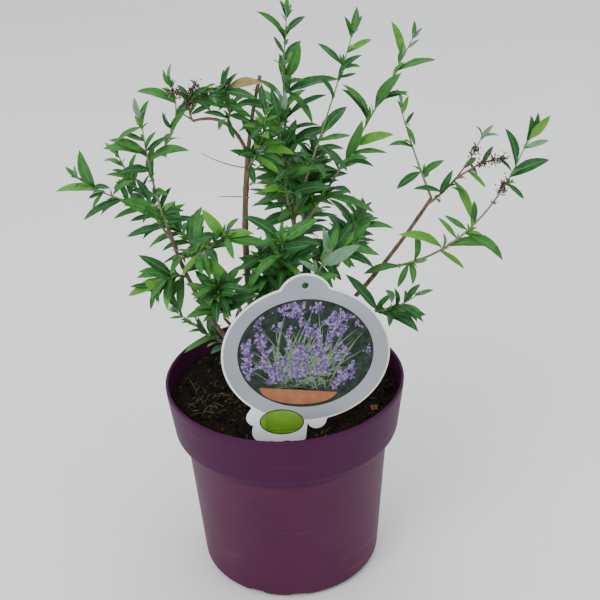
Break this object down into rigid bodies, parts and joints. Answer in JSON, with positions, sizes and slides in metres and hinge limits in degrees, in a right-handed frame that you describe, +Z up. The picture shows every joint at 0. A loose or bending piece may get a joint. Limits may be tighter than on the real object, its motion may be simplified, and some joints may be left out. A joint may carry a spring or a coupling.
{
  "type": "potted flowering shrub",
  "caption": "Young fountain butterfly bush with slender arching leafy canes, standing in a round flanged nursery pot of compost with an oval plant label.",
  "frame": {"origin": "middle of the pot's flat underside", "axes": "+Z up along the pot's axis, the label's printed face looks towards -Y, +X to the right as seen from the label's side"},
  "size_m": [0.3135, 0.2034, 0.4188],
  "materials": {
    "pot_plastic": "dull moulded plum plastic with faint scuffs",
    "compost": "dark moist peat compost",
    "label_plastic": "smooth printed sheet",
    "bark": "thin brown bark",
    "foliage": "soft matt leaves"
  },
  "bodies": {
    "root": {"pot": "pot_plastic", "compost": "compost", "label": "label_plastic", "old_cane": "bark", "old_cane_top": "bark", "old_cane_arch": "bark", "left_cane": "bark", "centre_cane": "bark", "right_cane": "bark", "lower_right_cane": "bark", "front_cane": "bark", "back_left_cane": "bark", "back_cane": "bark", "back_right_cane": "bark", "left_spray": "foliage", "left_back_sprig": "foliage", "left_low_spray": "foliage", "low_left_sprig": "foliage", "front_rosette": "foliage", "left_mid_spray": "foliage", "arch_spray": "foliage", "arch_tuft": "foliage", "old_cane_tuft": "foliage", "centre_spire": "foliage", "centre_second": "foliage", "right_spire": "foliage", "right_tall_spray": "foliage", "right_curl_spray": "foliage", "seed_head_spray": "foliage", "right_arching_spray": "foliage", "lower_right_sprig": "foliage", "label_top_shoot": "foliage", "centre_front_spray": "foliage", "centre_low_spray": "foliage", "centre_right_spray": "foliage", "centre_back_spray": "foliage", "back_left_spray": "foliage", "back_spray": "foliage", "back_right_spray": "foliage", "back_centre_spray": "foliage"}
  },
  "joints": []
}
